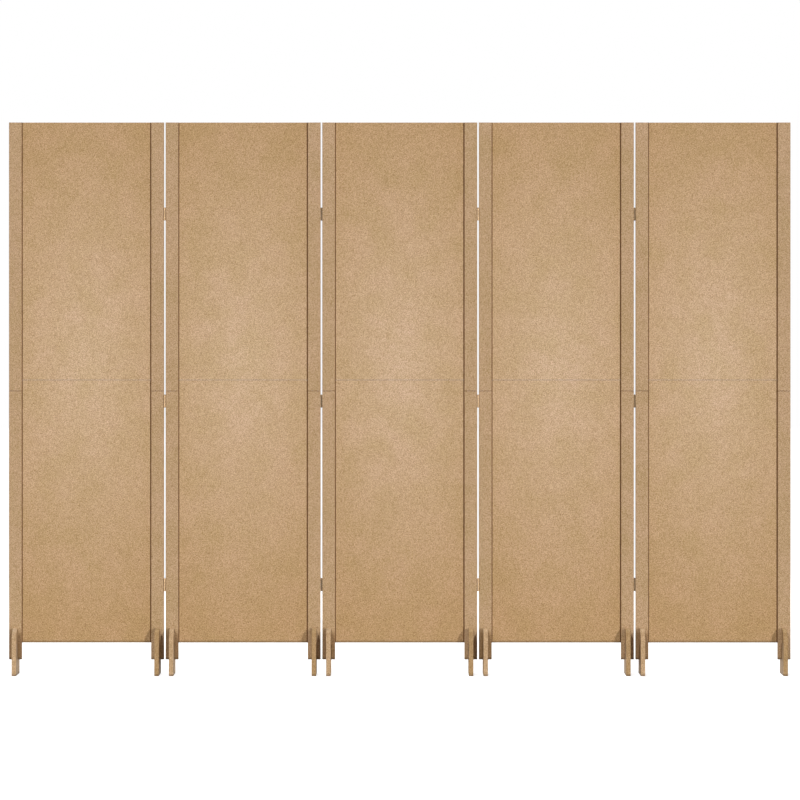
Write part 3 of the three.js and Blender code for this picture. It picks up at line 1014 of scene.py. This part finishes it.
class SCREEN_OT_screws(bpy.types.Operator):
    """Makes the countersunk cross-recess screws, two in each leaf"""

    bl_idname = "folding_screen.screws"
    bl_label = "Make screws"

    def execute(self, context):
        hinge = context.scene.hinge_sizes
        material = passivated_steel("screw steel, zinc plated", context.scene.finishes.steel)
        radius, along = screw_grids(hinge)
        for gap, level, centre, face in all_hinges():
            for kind, side, step in (("pin", -1, 0), ("plain", 1, 1)):
                places = screw_places(side, face, centre, hinge)
                for end, place in zip(("lower", "upper"), places):
                    name = f"hinge_{gap}_{gap + 1}_{level}_{kind}_leaf_{end}_screw"
                    piece = turned_piece(name, radius, side * along, 0, place)
                    finish_piece(piece, f"panel_{gap + step}", "hinge_steel", [material])
        return {"FINISHED"}


# ---- Studio ----


def new_lamp(name, kind, place, target, **settings):
    """A lamp that looks from a place to a target along its own -Z."""
    data = bpy.data.lights.new(name, kind)
    for key, value in settings.items():
        setattr(data, key, value)
    lamp = bpy.data.objects.new(name, data)
    bpy.context.collection.objects.link(lamp)
    lamp.location = place
    towards = np.array(target, float) - np.array(place, float)
    flat = math.hypot(towards[0], towards[1])
    lamp.rotation_euler = (math.atan2(flat, -towards[2]), 0, math.atan2(-towards[0], towards[1]))
    return lamp


def distant_light(name, turn, rise, strength, softness):
    """A lamp far enough away to light every panel alike, so many degrees to the right of straight on and
    above the horizon. softness is the angle that it fills as seen from the screen."""
    turn, rise = math.radians(turn), math.radians(rise)
    place = (math.sin(turn), -math.cos(turn), math.tan(rise))
    new_lamp(name, "SUN", place, (0, 0, 0), energy=strength, angle=math.radians(softness))


class SCREEN_OT_studio(bpy.types.Operator):
    """Makes the floor, the lights, the white surroundings and the camera"""

    bl_idname = "folding_screen.studio"
    bl_label = "Make studio"

    def execute(self, context):
        studio = context.scene.studio
        half = 40.0  # metres from the middle to the floor's edge
        corners = np.array([(-half, -half, 0), (half, -half, 0), (half, half, 0), (-half, half, 0)])
        floor = new_piece("studio_floor", corners, [[0, 1, 2, 3]])
        floor.data.materials.append(studio_floor("white studio floor"))
        floor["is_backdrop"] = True

        distant_light("right key", turn=26, rise=1.5, strength=studio.right_key, softness=0.9)
        distant_light("left key", turn=-15, rise=30, strength=studio.left_key, softness=0.9)
        distant_light("top", turn=0, rise=76, strength=studio.top, softness=20)
        distant_light("right side", turn=86, rise=28, strength=studio.sides, softness=30)
        distant_light("left side", turn=-86, rise=28, strength=studio.sides, softness=30)
        settings = {"shape": "RECTANGLE", "size": 5.0, "size_y": 2.5, "energy": studio.back}
        back = new_lamp("back", "AREA", place=(-1.5, 5.0, 3.0), target=(0, 0, 0.9), **settings)
        back.visible_camera = False

        world = bpy.data.worlds.new("white surroundings")
        world.use_nodes = True
        context.scene.world = world
        tree = world.node_tree
        level = {0: seen_directly(tree), 2: studio.world, 3: 1.0}
        level = add(tree, "ShaderNodeMix", level, data_type="FLOAT")
        fill(tree.nodes["Background"], {"Strength": level, "Color": WHITE})

        photo_width = 2.6238  # metres across the picture, at the screen
        photo_middle = 0.8 * MM  # how far the picture's middle lies to the right of the screen's
        below_eye = 0.0875  # how far the picture's middle lies below eye height, over its width
        data = bpy.data.cameras.new("camera")
        data.sensor_width = 36
        data.lens = data.sensor_width * studio.distance / photo_width
        data.shift_y = -below_eye
        data.clip_end = 100
        camera = bpy.data.objects.new("camera", data)
        context.collection.objects.link(camera)
        camera.location = (photo_middle, -studio.distance, studio.eye_height)
        camera.rotation_euler = (math.pi / 2, 0, 0)
        context.scene.camera = camera
        context.scene.view_settings.view_transform = "Standard"
        return {"FINISHED"}


# ---- Add-on ----

OPERATORS = (
    SCREEN_OT_posts,
    SCREEN_OT_dowels,
    SCREEN_OT_boards,
    SCREEN_OT_feet,
    SCREEN_OT_leaves,
    SCREEN_OT_pins,
    SCREEN_OT_screws,
    SCREEN_OT_studio,
)
GROUPS = {"wood_sizes": WoodSizes, "hinge_sizes": HingeSizes, "finishes": Finishes, "studio": Studio}


class SCREEN_PT_sidebar(bpy.types.Panel):
    """Lists the operators and the values that they read"""

    bl_label = "Folding screen"
    bl_idname = "SCREEN_PT_sidebar"
    bl_space_type = "VIEW_3D"
    bl_region_type = "UI"
    bl_category = "Folding screen"

    def draw(self, context):
        for group, kind in GROUPS.items():
            values = getattr(context.scene, group)
            area = self.layout.box()
            for name in kind.__annotations__:
                area.prop(values, name)
        for operator in OPERATORS:
            self.layout.operator(operator.bl_idname)


def register():
    """Registers the classes, and gives the scene the values that a user may change."""
    for kind in (*GROUPS.values(), *OPERATORS, SCREEN_PT_sidebar):
        bpy.utils.register_class(kind)
    for name, kind in GROUPS.items():
        setattr(bpy.types.Scene, name, PointerProperty(type=kind))


def unregister():
    """Takes both away again."""
    for name in GROUPS:
        delattr(bpy.types.Scene, name)
    for kind in (SCREEN_PT_sidebar, *reversed(OPERATORS), *reversed(GROUPS.values())):
        bpy.utils.unregister_class(kind)


def main():
    """Registers the add-on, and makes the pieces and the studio."""
    register()
    bpy.ops.folding_screen.posts()
    bpy.ops.folding_screen.dowels()
    bpy.ops.folding_screen.boards()
    bpy.ops.folding_screen.feet()
    bpy.ops.folding_screen.leaves()
    bpy.ops.folding_screen.pins()
    bpy.ops.folding_screen.screws()
    bpy.ops.folding_screen.studio()
    boxes = {"cad": cad_box, "visual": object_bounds()}
    sizes = {name: [list(corner) for corner in corners] for name, corners in boxes.items()}


if __name__ == "__main__":
    main()
